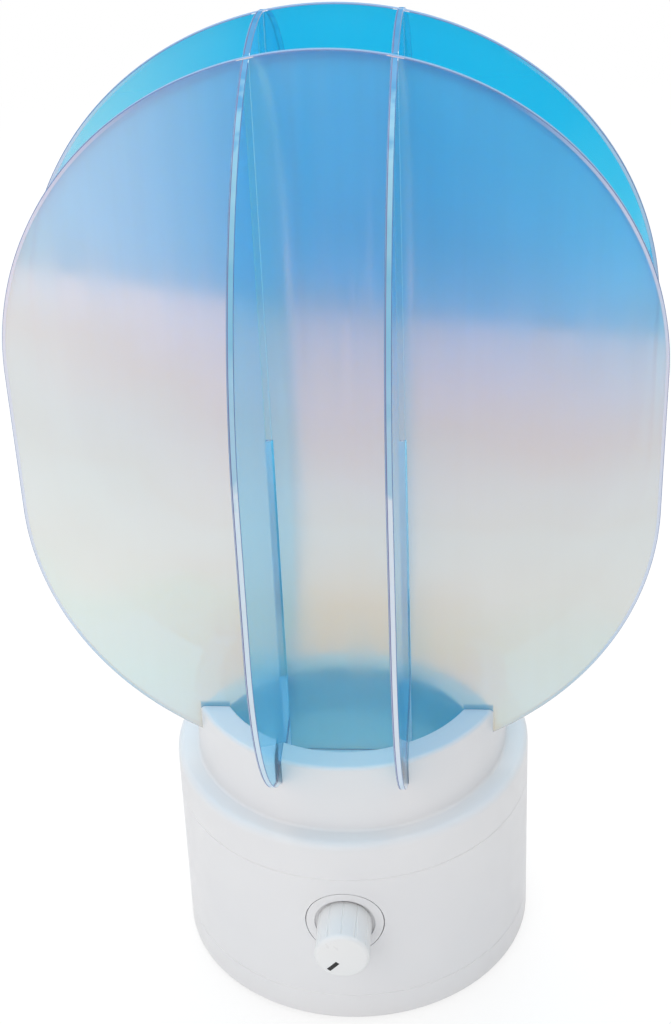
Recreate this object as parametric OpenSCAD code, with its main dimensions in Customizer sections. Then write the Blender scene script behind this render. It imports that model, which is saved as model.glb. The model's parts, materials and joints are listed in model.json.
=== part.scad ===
// Bedside lamp: four interlocking acrylic panels stand in the slotted collar
// of a round base that carries a rotary dimmer.
// Millimetres. The origin is the centre of the footprint, +Z is up and the
// dimmer knob faces -Y.

/* [Panels] */
// Width of each panel, twice the radius of its round ends
panel_w = 200; // [180:1:220]
// Straight stretch of each side, between the round ends
panel_side = 48; // [30:1:60]
// Sheet thickness
panel_t = 2; // [1.6:0.1:3]
// Distance between the two panels of a pair, centre to centre
panel_pitch = 41; // [36:0.5:46]
// Height of the seat shoulders above the lowest point of the round end
panel_cut = 13; // [12:0.25:16]
// Height of the half laps above the foot of the panels
lap_h = 120.5; // [100:0.5:140]
// Clearance on each side of a panel in a slot
slot_fit = 0.15; // [0.1:0.05:0.3]
// Clearance between a panel's foot and the wall of the well
tongue_fit = 0.6; // [0.3:0.1:1.5]

/* [Base] */
// Diameter at the foot
base_d = 123.4; // [118:0.2:130]
// Diameter at the shoulder
base_top_d = 122.3; // [118:0.2:128]
// Height of the ledge round the collar
shoulder_z = 78.8; // [75:0.2:86]
// Height of the lower seam
bottom_seam_z = 12; // [10:0.5:14]
// Height of the upper seam
top_seam_z = 64; // [62:0.5:67]
// Wall thickness of the mouldings
wall = 2.8; // [2.2:0.1:3.4]
// Round on the outer edge of the ledge
shoulder_round = 2.6; // [1:0.1:4]
// Round on the foot edge
foot_round = 1; // [0.5:0.1:2]
// Chamfer that shows as a hairline at each seam
seam_chamfer = 0.3; // [0.1:0.05:0.6]
// Height of the lips that centre the mouldings on each other
lip_h = 3; // [2:0.25:4]
// Thickness of those lips
lip_t = 1.8; // [1.4:0.1:2.4]
// Clearance round those lips
joint_fit = 0.15; // [0.1:0.05:0.3]
// Thickness of the bottom cover's floor
floor_t = 3; // [2.6:0.1:4]

/* [Collar] */
// Outer diameter of the collar
collar_d = 107; // [103:0.5:110]
// Diameter of the well inside the collar
well_d = 89; // [85:0.5:92]
// Height of the collar above the ledge
collar_h = 26; // [24:0.5:30]
// Depth of the panel slots below the rim
slot_depth = 9.6; // [8:0.2:12]
// Depth of the diffuser below the rim
well_depth = 18; // [16:0.5:20]
// Round on the outer edge of the rim
rim_round = 1.4; // [0.5:0.1:2]
// Round on the inner edge of the rim
rim_inner_round = 0.6; // [0.3:0.1:1]
// Round where the collar meets the ledge
collar_fillet = 1.2; // [0.5:0.1:2]

/* [Light] */
// Thickness of the diffuser
diffuser_t = 3; // [2:0.25:4]
// Clearance round the diffuser
diffuser_fit = 0.2; // [0.1:0.05:0.4]
// Width of the ledge that the diffuser lies on
seat_w = 4.5; // [3:0.25:6]
// Thickness of that ledge
seat_t = 2.5; // [2:0.25:3]
// Thickness of the LED board
led_board_t = 1.6; // [1:0.1:2]
// Size of one LED, length, width and height
led_size = [3.5, 2.8, 0.8];
// LEDs in the outer and the inner ring
led_count = [16, 8];
// Radii of those rings
led_ring_r = [31, 16];
// How far the board's bosses reach into the walls of the collar
led_boss_reach = 1.4; // [1:0.1:1.8]
// Margin of the LED board round its screw heads
led_board_margin = 1.2; // [0.5:0.1:1.5]

/* [Dimmer] */
// Height of the knob's axis
knob_z = 45; // [42:0.5:48]
// Diameter of the knob
knob_d = 18.2; // [16:0.2:22]
// How far the knob stands out of the wall
knob_l = 16.4; // [14:0.2:20]
// Hair grooves round the knob
knob_grooves = 12; // [6:1:24]
// Width of those grooves
groove_w = 0.7; // [0.5:0.1:1.2]
// Round on the edge of the knob's face
knob_round = 1.6; // [0.8:0.1:2.5]
// Rise of the domed face
knob_dome = 0.7; // [0.3:0.1:1.2]
// Wall of the knob's skirt
knob_wall = 1.8; // [1.4:0.1:2.2]
// Turn from off to full brightness
knob_sweep = 280; // [240:5:300]
// Nearest and farthest point of the pointer from the axis
pointer_r = [2.7, 6.4];
// Width of the pointer
pointer_w = 1.1; // [0.8:0.1:1.6]
// Depth of the pointer's inlay
pointer_depth = 0.8; // [0.5:0.1:1.2]
// Diameter of the flush bezel round the knob
bezel_d = 26; // [25:0.2:30]
// Thickness of the bezel at its middle
bezel_t = 3.4; // [3.2:0.1:4]
// Hairline gap round the bezel
bezel_gap = 0.3; // [0.2:0.05:0.5]
// Depth of the well that the knob's skirt stands in
recess_depth = 1.7; // [1.5:0.1:2]
// Gap between the knob and the edge of that well
recess_gap = 1.1; // [0.7:0.1:1.4]
// Gap between the knob's skirt and the floor of that well
skirt_gap = 0.8; // [0.4:0.1:1.2]
// Wall behind the bezel that the potentiometer clamps to
pad_t = 3; // [2.4:0.1:3.6]
// Diameter of the potentiometer
pot_d = 16.4; // [14:0.2:18]
// Depth of its case
pot_case_l = 6; // [5.5:0.1:8]
// Depth of its switch
pot_switch_l = 6; // [4:0.25:8]
// Shaft diameter
shaft_d = 6; // [5:0.1:6.4]
// Running clearance of the shaft, on the radius
shaft_fit = 0.05; // [0.02:0.01:0.1]
// Outer diameter of the bushing
bushing_d = 7.2; // [7:0.1:8]
// Clearance of the bushing in the wall, the bezel, the washer and the nut
bushing_fit = 0.1; // [0.05:0.05:0.3]
// Washer diameter
washer_d = 12; // [11.6:0.2:12.6]
// Washer thickness
washer_t = 0.5; // [0.3:0.1:0.8]
// Nut width across its flats
nut_w = 10; // [9:0.2:10.6]
// Nut thickness
nut_t = 2; // [1.6:0.1:2.2]
// How far the bushing stands out of its nut
bushing_proud = 1; // [0.5:0.1:1.5]
// Gap between the bushing and the knob's hub
hub_gap = 0.8; // [0.5:0.1:1.2]
// Thickness of the knob in front of the shaft
knob_face_t = 4; // [3:0.25:5]
// Margin of the wall's pad round the bezel
pad_margin = 2; // [1:0.25:3]
// Thickness of the potentiometer's front plate
plate_t = 1; // [0.8:0.1:1.2]
// Thickness of its wafer
wafer_t = 1.6; // [1.2:0.1:2]
// Gap between the wafer and the rim of the case
wafer_gap = 0.2; // [0.1:0.05:0.4]
// Gap between the wafer and the shaft
wafer_bore_gap = 0.3; // [0.2:0.05:0.5]
// Width of the wafer's tail, and how far it hangs out of the case
wafer_tail = [14, 3];
// Wall of the metal case
case_t = 0.6; // [0.4:0.1:0.8]
// Gap between the rotor and the wall of the case
rotor_gap = 0.8; // [0.5:0.1:1]
// Gap between the shaft's end and the case
shaft_gap = 0.6; // [0.4:0.1:0.8]
// Length of the shaft behind the rotor
shaft_tail = 0.6; // [0.4:0.1:0.8]
// Gap between the rotor and the wafer
brush_gap = 0.9; // [0.6:0.1:1.2]
// How far the terminals hang below the case
terminal_l = 5.8; // [5:0.2:7]
// Gap between a terminal and the case
terminal_gap = 0.4; // [0.2:0.1:0.6]
// Width and thickness of a terminal
terminal_size = [1.4, 0.6];
// Distance between the terminals
terminal_pitch = 5; // [4.5:0.1:5.2]
// Width, thickness and length of the switch's two tabs
switch_tab = [1.4, 0.8, 3];
// Distance between those tabs
switch_tab_pitch = 8; // [6:0.25:9]

/* [Inlet] */
// Height of the inlet's axis
inlet_z = 29; // [26:0.5:36]
// Outer diameter of the threaded barrel
inlet_d = 8; // [7.8:0.1:9]
// Diameter of the socket
socket_d = 6.3; // [5.8:0.1:6.6]
// Depth of the socket
socket_l = 10; // [8:0.25:12]
// Diameter of the centre pin
pin_d = 2.1; // [2:0.1:2.6]
// Diameter of the flange
inlet_flange_d = 11; // [10:0.2:13]
// Thickness of the flange
inlet_flange_t = 1.6; // [1.2:0.1:2]
// Inlet nut width across its flats
inlet_nut_w = 11; // [10.6:0.2:13]
// Inlet nut thickness
inlet_nut_t = 2.2; // [1.8:0.1:3]
// Depth of the flange's seat in the wall
inlet_sink = 1; // [0.6:0.1:1.4]
// Clearance round the flange
flange_fit = 0.3; // [0.2:0.05:0.5]
// Margin of the wall's pad round the inlet's nut
inlet_pad_margin = 3; // [2:0.25:4]
// Thickness of the socket's floor
socket_floor_t = 2; // [1.5:0.1:3]
// Depth of the pin's tip inside the mouth
pin_sink = 1; // [0.5:0.1:2]
// Width, thickness and length of the solder tabs
tab_size = [1.4, 0.8, 4];
// Distance between those tabs
tab_pitch = 4; // [3.5:0.1:4.5]

/* [Fasteners and feet] */
// Diameter of the cover screws
screw_d = 3; // [2.6:0.1:3.2]
// Diameter of their heads
head_d = 5.4; // [5:0.1:5.8]
// Height of their heads
head_h = 1.6; // [1.2:0.1:1.8]
// Length of the cover screws under the head
screw_l = 11; // [9:0.5:13]
// Diameter of the board screws
small_screw_d = 2.2; // [2:0.1:2.6]
// Diameter of their heads
small_head_d = 4; // [3.6:0.1:4.4]
// Height of their heads
small_head_h = 1.3; // [1:0.1:1.6]
// Length of the board screws under the head
small_screw_l = 6; // [5:0.25:7]
// Clearance of a screw in its pilot hole, on the radius
pilot_fit = 0.05; // [0.02:0.01:0.1]
// Clearance of a screw in a through hole, on the radius
through_fit = 0.2; // [0.1:0.05:0.4]
// Diameter of the screw columns and bosses
boss_d = 8; // [7:0.25:9]
// Height of the screw columns above the floor
column_h = 26; // [20:1:32]
// Angle of the cover lugs from the X axis
lug_angle = 20; // [12:1:24]
// Thickness of the cover lugs
lug_t = 4; // [3:0.25:5]
// Gap between a lip and the columns and lugs beside it
boss_gap = 0.5; // [0.3:0.05:0.8]
// Gap between the cover's lip and the lugs below it
lug_gap = 0.4; // [0.2:0.05:0.6]
// Thickness of the webs that hold the screw columns
web_t = 3; // [2:0.25:4]
// Depth of the sunk screw heads below the surface
head_sink = 0.2; // [0.1:0.05:0.4]
// Room in front of the tip of a cover screw
tip_room = 1; // [0.5:0.1:1.5]
// Room in front of the tip of a board screw
small_tip_room = 0.5; // [0.3:0.1:1]
// Diameter of the feet
foot_d = 14; // [10:0.5:18]
// How far the feet stand out
foot_proud = 1.2; // [0.8:0.1:2]
// Depth of the feet's recesses
foot_recess = 0.8; // [0.5:0.1:1.2]
// Distance of the feet from the edge of the base
foot_inset = 16; // [14:0.5:22]
// Chamfer on the feet
foot_chamfer = 0.5; // [0.3:0.1:0.8]

/* [Driver] */
// Length and width of the driver board
board_size = [64, 40];
// Thickness of the driver board
board_t = 1.6; // [1:0.1:2]
// Height of the board's standoffs above the floor
standoff_h = 10; // [8:0.5:13]
// Diameter of the standoffs
standoff_d = 6; // [5:0.25:7]
// Distance of the standoffs from the board's edges
standoff_inset = 4; // [3.5:0.25:6]
// Thickness of the ballast plate
ballast_t = 4; // [2:0.5:6]
// Gap between the ballast plate and the screw columns
ballast_gap = 1; // [0.5:0.1:2]
// Clearance of the ballast plate round the standoffs
ballast_fit = 0.4; // [0.2:0.05:0.6]
// Distance of the board's centre behind the lamp's axis
board_back = 4; // [2:0.25:6]
// Place of the capacitor on the board
capacitor_at = [16, 11];
// Diameter of the capacitor
capacitor_d = 10; // [8:0.5:10]
// Height of the capacitor
capacitor_h = 13; // [10:0.5:16]
// Place of the inductor on the board
inductor_at = [12, -3];
// Diameter of the inductor
inductor_d = 10; // [8:0.5:10]
// Height of the inductor
inductor_h = 6; // [5:0.25:8]
// Diameter of its winding
winding_d = 6.8; // [6:0.2:8]
// Thickness of its flanges
flange_t = 1.2; // [0.8:0.1:1.6]
// Places of the two chips on the board
chip_at = [[-5, 0], [22, -8]];
// Sizes of the two chips
chip_size = [[5, 4, 1.6], [6.6, 6.2, 2.3]];
// Places on the board of the plugs for the LEDs, the dimmer and the inlet
plug_at = [[-22, 2], [0, -14], [0, 14]];
// Ways of those plugs
plug_ways = [2, 3, 2];
// Distance between the ways
plug_pitch = 2.5; // [2:0.05:2.6]
// Walls of a plug on both sides together
plug_walls = 2.5; // [2:0.1:3]
// Depth of a plug
plug_w = 6; // [5:0.25:7]
// Height of a plug
plug_h = 6; // [5:0.25:8]
// Diameter of the leads
lead_d = 1.4; // [1:0.1:1.6]
// Distance of the LED leads from the axis where they leave their board
led_lead_x = 9; // [6:0.5:12]
// Reach of the curves at the two ends of the LED leads
led_lead_reach = 24; // [18:1:26]
// Reach of the curves at the two ends of the dimmer leads
dimmer_lead_reach = [9, 22];
// Reach of the curves at the two ends of the inlet leads
inlet_lead_reach = [12, 14];

/* [Hidden] */
$fn = 96;

// Overshoot of cuts past the faces they open
over = 1;

// Levels of the base
floor_z = foot_proud + floor_t;
plate_z = shoulder_z - wall;
rim_z = shoulder_z + collar_h;
slot_z = rim_z - slot_depth;
diffuser_z = rim_z - well_depth - diffuser_t;

// Radii of the base
collar_r = collar_d / 2;
well_r = well_d / 2;
lower_lip_r = base_r(bottom_seam_z) - wall - joint_fit;
upper_lip_r = base_r(top_seam_z) - wall - joint_fit;
boss_r = boss_d / 2;
column_r = lower_lip_r - lip_t - boss_r - boss_gap;
lug_r = upper_lip_r - lip_t - boss_r - boss_gap;
lug_z = top_seam_z - lip_h - lug_gap;
lug_angles = [lug_angle, 180 - lug_angle, 180 + lug_angle, 360 - lug_angle];
// The collar is cored no farther out than the axes of the lug bosses, which hang from the ledge
core_r = min(collar_r - wall, lug_r);
// The rounds of the ledge share its width
ledge_w = base_r(shoulder_z) - collar_r;
ledge_round = min(shoulder_round, ledge_w * 0.6);
root_round = min(collar_fillet, ledge_w * 0.3);

// Panels
panel_r = panel_w / 2;
panel_h = panel_w + panel_side;
half_pitch = panel_pitch / 2;
slot_w = panel_t + 2 * slot_fit;
panel_z = slot_z + slot_fit - panel_cut;
tongue_z = diffuser_z + diffuser_t + slot_fit;
tongue_half = sqrt(pow(well_r, 2) - pow(half_pitch + panel_t / 2, 2)) - tongue_fit;
lap_z = tongue_z + lap_h;

// Light
led_screw_r = (well_r + collar_r) / 2;
led_boss_r = (collar_r - well_r) / 2 - wall + led_boss_reach;
led_board_r = led_screw_r + small_head_d / 2 + led_board_margin;
led_board_z = plate_z - led_board_t;

// Dimmer, as distances from the lamp's axis towards the front
face_d = base_r(knob_z);
pocket_d = face_d - bezel_t;
pad_d = pocket_d - pad_t;
recess_d = face_d - recess_depth;
wafer_d = pad_d - plate_t - wafer_t;
case_d = wafer_d - pot_case_l;
switch_d = case_d - pot_switch_l;
bushing_end_d = recess_d + washer_t + nut_t + bushing_proud;
skirt_d = recess_d + skirt_gap;
hub_d = bushing_end_d + hub_gap;
knob_face_d = face_d + knob_l;
shaft_end_d = knob_face_d - knob_face_t;
shaft_start_d = case_d + case_t + shaft_gap;
pot_r = pot_d / 2;
terminal_drop = pot_r + terminal_l;
rest_angle = (360 - knob_sweep) / 2;

// Inlet, as distances from the lamp's axis towards the back
inlet_seat_d = base_r(inlet_z) - inlet_sink;
inlet_pad_d = inlet_seat_d - wall;
mouth_d = inlet_seat_d + inlet_flange_t;
socket_floor_d = mouth_d - socket_l;
inlet_end_d = socket_floor_d - socket_floor_t;

// Driver board
board_z = floor_z + standoff_h;
board_top_z = board_z + board_t;
standoffs = [for (sx = [-1, 1], sy = [-1, 1])
    [sx * (board_size.x / 2 - standoff_inset), board_back + sy * (board_size.y / 2 - standoff_inset)]];
plugs = [for (p = plug_at) p + [0, board_back]];
led_plug = plugs[0];
dimmer_plug = plugs[1];
inlet_plug = plugs[2];

// Radius of the base's drafted wall at a height
function base_r(z) = base_d / 2 + (base_top_d - base_d) / 2 * z / shoulder_z;

// Points of a circular arc, both ends included
function arc(centre, r, from, to, steps = 8) = [for (i = [0:steps])
    let (a = from + (to - from) * i / steps) centre + r * [cos(a), sin(a)]];

// Point of a cubic curve and the unit vector along it
function curve(p, t) = pow(1 - t, 3) * p[0] + 3 * pow(1 - t, 2) * t * p[1]
    + 3 * (1 - t) * t * t * p[2] + pow(t, 3) * p[3];
function unit(v) = v / norm(v);
function heading(p, t) = unit(pow(1 - t, 2) * (p[1] - p[0]) + 2 * (1 - t) * t * (p[2] - p[1])
    + t * t * (p[3] - p[2]));

// Round lead along a cubic curve that never runs along X
module lead(p, steps = 14, sides = 8) {
    points = [for (i = [0:steps])
        let (t = i / steps, h = heading(p, t), n = unit(cross(h, [1, 0, 0])), b = cross(h, n))
        for (k = [0:sides - 1])
            curve(p, t) + lead_d / 2 * (cos(360 * k / sides) * n + sin(360 * k / sides) * b)];
    skin = [for (i = [0:steps - 1], k = [0:sides - 1])
        let (a = i * sides + k, b = i * sides + (k + 1) % sides)
        each [[a, b, b + sides], [a, b + sides, a + sides]]];
    ends = [for (k = [1:sides - 2]) each [[0, k + 1, k],
        [steps * sides, steps * sides + k, steps * sides + k + 1]]];
    polyhedron(points, concat(skin, ends));
}

// Places children on the dimmer's axis: local Z is the distance from the lamp's axis
module at_dial() {
    translate([0, 0, knob_z]) rotate([90, 0, 0]) children();
}

// Places children on the inlet's axis in the same way, towards the back
module at_inlet() {
    translate([0, 0, inlet_z]) rotate([-90, 0, 0]) children();
}

// Copies children round the lamp's axis
module around(angles, r) {
    for (a = angles) rotate(a) translate([r, 0, 0]) children();
}

// Tube or washer from one level to another
module ring(outer_r, inner_r, from, to) {
    translate([0, 0, from]) difference() {
        cylinder(r = outer_r, h = to - from);
        translate([0, 0, -over]) cylinder(r = inner_r, h = to - from + 2 * over);
    }
}

// Solid cylinder from one level to another
module rod(r, from, to) {
    translate([0, 0, from]) cylinder(r = r, h = to - from);
}

// Screw with its head down and its shank up, standing on z = 0 under the head
module screw(d, l, cap_d, cap_h) {
    rod(cap_d / 2, -cap_h, 0);
    rod(d / 2, 0, l);
}

// Everything inside the base's drafted outer surface
module base_envelope() {
    cylinder(r1 = base_r(0), r2 = base_r(shoulder_z), h = shoulder_z);
}

// Outline of one panel, upright in the XY plane on its lowest round point:
// two round ends, straight sides, seat shoulders and a foot for the well
module panel_outline() {
    difference() {
        union() {
            for (y = [panel_r, panel_r + panel_side]) translate([0, y]) circle(r = panel_r, $fn = 180);
            translate([-panel_r, panel_r]) square([panel_w, panel_side]);
        }
        for (side = [0, 1]) mirror([side, 0])
            translate([tongue_half, -over]) square([panel_r, panel_cut + over]);
        translate([-panel_r, -over]) square([panel_w, tongue_z - panel_z + over]);
    }
}

// Panel across the lamp's axis with half laps that open at the foot or at the top
module panel(laps_at_top) {
    lap = lap_z - panel_z;
    translate([0, panel_t / 2, panel_z]) rotate([90, 0, 0]) linear_extrude(panel_t) difference() {
        panel_outline();
        for (side = [-1, 1])
            translate([side * half_pitch - slot_w / 2, laps_at_top ? lap - slot_fit : -over])
                square([slot_w, laps_at_top ? panel_h - lap + slot_fit + over : lap + slot_fit + over]);
    }
}

module front_panel() {
    color("skyblue") translate([0, -half_pitch, 0]) panel(false);
}

module rear_panel() {
    color("skyblue") translate([0, half_pitch, 0]) panel(false);
}

module left_panel() {
    color("deepskyblue") translate([-half_pitch, 0, 0]) rotate(90) panel(true);
}

module right_panel() {
    color("deepskyblue") translate([half_pitch, 0, 0]) rotate(90) panel(true);
}

module bottom_cover() {
    foot_r = base_r(foot_proud + foot_round);
    color("whitesmoke") difference() {
        union() {
            rotate_extrude() polygon(concat(
                [[0, foot_proud]],
                arc([foot_r - foot_round, foot_proud + foot_round], foot_round, -90, 0, 6),
                [[base_r(bottom_seam_z - seam_chamfer), bottom_seam_z - seam_chamfer],
                    [base_r(bottom_seam_z) - seam_chamfer, bottom_seam_z],
                    [lower_lip_r, bottom_seam_z],
                    [lower_lip_r, bottom_seam_z + lip_h],
                    [lower_lip_r - lip_t, bottom_seam_z + lip_h],
                    [lower_lip_r - lip_t, floor_z],
                    [0, floor_z]]));
            for (p = standoffs) translate(p) rod(standoff_d / 2, floor_z, board_z);
        }
        for (p = standoffs) translate(p)
            rod(small_screw_d / 2 + pilot_fit, board_z - small_screw_l - small_tip_room, board_z + over);
        around([45:90:315], column_r) {
            rod(screw_d / 2 + through_fit, foot_proud - over, floor_z + over);
            rod(head_d / 2 + through_fit, foot_proud - over, foot_proud + head_h + head_sink);
        }
        around([0:90:270], base_r(0) - foot_inset)
            rod(foot_d / 2, foot_proud - over, foot_proud + foot_recess);
    }
}

module rubber_feet() {
    color("dimgray") around([0:90:270], base_r(0) - foot_inset)
        rotate_extrude() polygon([[0, 0], [foot_d / 2 - foot_chamfer, 0], [foot_d / 2, foot_chamfer],
            [foot_d / 2, foot_proud + foot_recess], [0, foot_proud + foot_recess]]);
}

module bottom_screws() {
    color("silver") around([45:90:315], column_r)
        translate([0, 0, foot_proud + head_h + head_sink]) screw(screw_d, screw_l, head_d, head_h);
}

module ballast_plate() {
    color("slategray") difference() {
        rod(column_r - boss_r - ballast_gap, floor_z, floor_z + ballast_t);
        for (p = standoffs) translate(p)
            rod(standoff_d / 2 + ballast_fit, floor_z - over, floor_z + ballast_t + over);
    }
}

// Shell between the seams before it is hollowed, with a chamfer at each seam
module shell_blank() {
    rotate_extrude() polygon([
        [0, bottom_seam_z],
        [base_r(bottom_seam_z) - seam_chamfer, bottom_seam_z],
        [base_r(bottom_seam_z + seam_chamfer), bottom_seam_z + seam_chamfer],
        [base_r(top_seam_z - seam_chamfer), top_seam_z - seam_chamfer],
        [base_r(top_seam_z) - seam_chamfer, top_seam_z],
        [0, top_seam_z]]);
}

// Hollow of the shell, less the pads, webs and lugs that stand in it
module shell_hollow() {
    from = bottom_seam_z - over;
    to = top_seam_z + over;
    web_z = bottom_seam_z + lip_h + boss_gap;
    column_z = floor_z + column_h;
    difference() {
        translate([0, 0, from]) cylinder(r1 = base_r(from) - wall, r2 = base_r(to) - wall, h = to - from);
        at_dial() rod(bezel_d / 2 + bezel_gap + pad_margin, pad_d, face_d);
        at_inlet() rod(inlet_nut_w / 2 + inlet_pad_margin, inlet_pad_d, mouth_d);
        around([45:90:315], column_r) translate([0, -web_t / 2, web_z])
            cube([max(base_r(web_z), base_r(column_z)) - column_r, web_t, column_z - web_z]);
        around(lug_angles, lug_r) {
            rod(boss_r, lug_z - lug_t, lug_z);
            translate([0, -boss_r, lug_z - lug_t]) cube([base_r(lug_z) - lug_r, boss_d, lug_t]);
        }
    }
}

module base_shell() {
    color("white") difference() {
        union() {
            difference() {
                shell_blank();
                shell_hollow();
            }
            around([45:90:315], column_r) rod(boss_r, floor_z, floor_z + column_h);
        }
        at_dial() {
            rod(bezel_d / 2 + bezel_gap, pocket_d, face_d + over);
            rod(bushing_d / 2 + bushing_fit, pad_d - over, pocket_d + over);
        }
        at_inlet() {
            rod(inlet_flange_d / 2 + flange_fit, inlet_seat_d, mouth_d + over);
            rod(inlet_d / 2 + bushing_fit, inlet_pad_d - over, inlet_seat_d + over);
        }
        around([45:90:315], column_r)
            rod(screw_d / 2 + pilot_fit, floor_z - over, foot_proud + head_h + screw_l + tip_room);
        around(lug_angles, lug_r)
            rod(screw_d / 2 + through_fit, lug_z - lug_t - over, lug_z + over);
    }
}

// Section of the top cover: skirt, ledge, collar and the diffuser's seat
module top_cover_section() {
    skirt_r = base_r(top_seam_z) - wall;
    edge_r = base_r(shoulder_z - ledge_round);
    polygon(concat(
        [[upper_lip_r, top_seam_z],
            [base_r(top_seam_z) - seam_chamfer, top_seam_z],
            [base_r(top_seam_z + seam_chamfer), top_seam_z + seam_chamfer]],
        arc([edge_r - ledge_round, shoulder_z - ledge_round], ledge_round, 0, 90),
        arc([collar_r + root_round, shoulder_z + root_round], root_round, 270, 180, 5),
        arc([collar_r - rim_round, rim_z - rim_round], rim_round, 0, 90),
        arc([well_r + rim_inner_round, rim_z - rim_inner_round], rim_inner_round, 90, 180, 5),
        [[well_r, diffuser_z], [well_r - seat_w, diffuser_z],
            [well_r - seat_w, diffuser_z - seat_t], [well_r, diffuser_z - seat_t],
            [well_r, plate_z], [skirt_r, plate_z],
            [skirt_r, top_seam_z + lip_h],
            [upper_lip_r - lip_t, top_seam_z + lip_h],
            [upper_lip_r - lip_t, top_seam_z - lip_h],
            [upper_lip_r, top_seam_z - lip_h]]));
}

module top_cover() {
    color("white") difference() {
        union() {
            rotate_extrude() top_cover_section();
            around(lug_angles, lug_r) rod(boss_r, lug_z, plate_z);
        }
        // The collar is cored from below, but for the bosses of the LED board
        difference() {
            ring(core_r, well_r + wall, plate_z - over, slot_z - wall);
            around([45:90:315], led_screw_r) rod(led_boss_r, plate_z - 2 * over, slot_z);
        }
        for (a = [0, 90], side = [-1, 1]) rotate(a)
            translate([-collar_r - over, side * half_pitch - slot_w / 2, slot_z])
                cube([collar_d + 2 * over, slot_w, slot_depth + over]);
        around(lug_angles, lug_r)
            rod(screw_d / 2 + pilot_fit, lug_z - over, lug_z - lug_t + screw_l + tip_room);
        around([45:90:315], led_screw_r)
            rod(small_screw_d / 2 + pilot_fit, plate_z - over, led_board_z + small_screw_l + small_tip_room);
    }
}

module cover_screws() {
    color("silver") around(lug_angles, lug_r)
        translate([0, 0, lug_z - lug_t]) screw(screw_d, screw_l, head_d, head_h);
}

module diffuser() {
    color("ivory") rod(well_r - diffuser_fit, diffuser_z, diffuser_z + diffuser_t);
}

module led_board() {
    color("gainsboro") difference() {
        rod(led_board_r, led_board_z, plate_z);
        around([45:90:315], led_screw_r)
            rod(small_screw_d / 2 + through_fit, led_board_z - over, plate_z + over);
        around(lug_angles, lug_r) rod(boss_r + boss_gap, led_board_z - over, plate_z + over);
    }
}

module led_chips() {
    color("gold") for (i = [0, 1])
        around([for (k = [0:led_count[i] - 1]) 360 * k / led_count[i]], led_ring_r[i])
            translate([-led_size.x / 2, -led_size.y / 2, plate_z]) cube(led_size);
}

module led_screws() {
    color("silver") around([45:90:315], led_screw_r)
        translate([0, 0, led_board_z]) screw(small_screw_d, small_screw_l, small_head_d, small_head_h);
}

module driver_board() {
    color("seagreen") difference() {
        translate([-board_size.x / 2, board_back - board_size.y / 2, board_z])
            cube([board_size.x, board_size.y, board_t]);
        for (p = standoffs) translate(p)
            rod(small_screw_d / 2 + through_fit, board_z - over, board_top_z + over);
    }
}

module board_screws() {
    color("silver") for (p = standoffs) translate([p.x, p.y, board_top_z]) rotate([180, 0, 0])
        screw(small_screw_d, small_screw_l, small_head_d, small_head_h);
}

module driver_capacitor() {
    color("midnightblue") translate(capacitor_at + [0, board_back])
        rod(capacitor_d / 2, board_top_z, board_top_z + capacitor_h);
}

module driver_inductor() {
    color("dimgray") translate(inductor_at + [0, board_back]) difference() {
        rod(inductor_d / 2, board_top_z, board_top_z + inductor_h);
        ring(inductor_d / 2 + over, winding_d / 2, board_top_z + flange_t,
            board_top_z + inductor_h - flange_t);
    }
}

// Block that stands on the driver board
module board_block(place, size) {
    translate([place.x - size.x / 2, place.y - size.y / 2, board_top_z]) cube(size);
}

module driver_chips() {
    color("black") for (i = [0, 1]) board_block(chip_at[i] + [0, board_back], chip_size[i]);
}

module board_connectors() {
    color("ivory") for (i = [0:2])
        board_block(plugs[i], [plug_ways[i] * plug_pitch + plug_walls, plug_w, plug_h]);
}

module dial_bezel() {
    color("white") difference() {
        intersection() {
            base_envelope();
            at_dial() rod(bezel_d / 2, pocket_d, face_d + over);
        }
        at_dial() {
            rod(knob_d / 2 + recess_gap, recess_d, face_d + over);
            rod(bushing_d / 2 + bushing_fit, pocket_d - over, face_d);
        }
    }
}

module pot_washer() {
    color("silver") at_dial()
        ring(washer_d / 2, bushing_d / 2 + bushing_fit, recess_d, recess_d + washer_t);
}

module pot_nut() {
    color("silver") at_dial() difference() {
        translate([0, 0, recess_d + washer_t]) cylinder(d = nut_w / cos(30), h = nut_t, $fn = 6);
        rod(bushing_d / 2 + bushing_fit, recess_d, recess_d + washer_t + nut_t + over);
    }
}

module pot_bushing() {
    color("silver") at_dial() difference() {
        union() {
            rod(pot_r, pad_d - plate_t, pad_d);
            rod(bushing_d / 2, pad_d - plate_t, bushing_end_d);
        }
        rod(shaft_d / 2 + shaft_fit, pad_d - plate_t - over, bushing_end_d + over);
    }
}

module pot_wafer() {
    color("peru") at_dial() difference() {
        union() {
            rod(pot_r - wafer_gap, wafer_d, wafer_d + wafer_t);
            translate([-wafer_tail.x / 2, -pot_r - wafer_tail.y, wafer_d])
                cube([wafer_tail.x, pot_r, wafer_t]);
        }
        rod(shaft_d / 2 + wafer_bore_gap, wafer_d - over, wafer_d + wafer_t + over);
    }
}

module pot_terminals() {
    color("silver") at_dial() {
        for (k = [-1:1])
            translate([k * terminal_pitch - terminal_size.x / 2, -terminal_drop, wafer_d - terminal_size.y])
                cube([terminal_size.x, terminal_drop - pot_r - terminal_gap, terminal_size.y]);
        for (k = [-0.5, 0.5])
            translate([k * switch_tab_pitch - switch_tab.x / 2, -switch_tab.y / 2, switch_d - switch_tab.z])
                cube(switch_tab);
    }
}

module pot_case() {
    color("lightgray") at_dial() difference() {
        rod(pot_r, case_d, wafer_d);
        rod(pot_r - case_t, case_d + case_t, wafer_d + over);
    }
}

module pot_switch() {
    color("black") at_dial() rod(pot_r - terminal_gap, switch_d, case_d);
}

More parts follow.
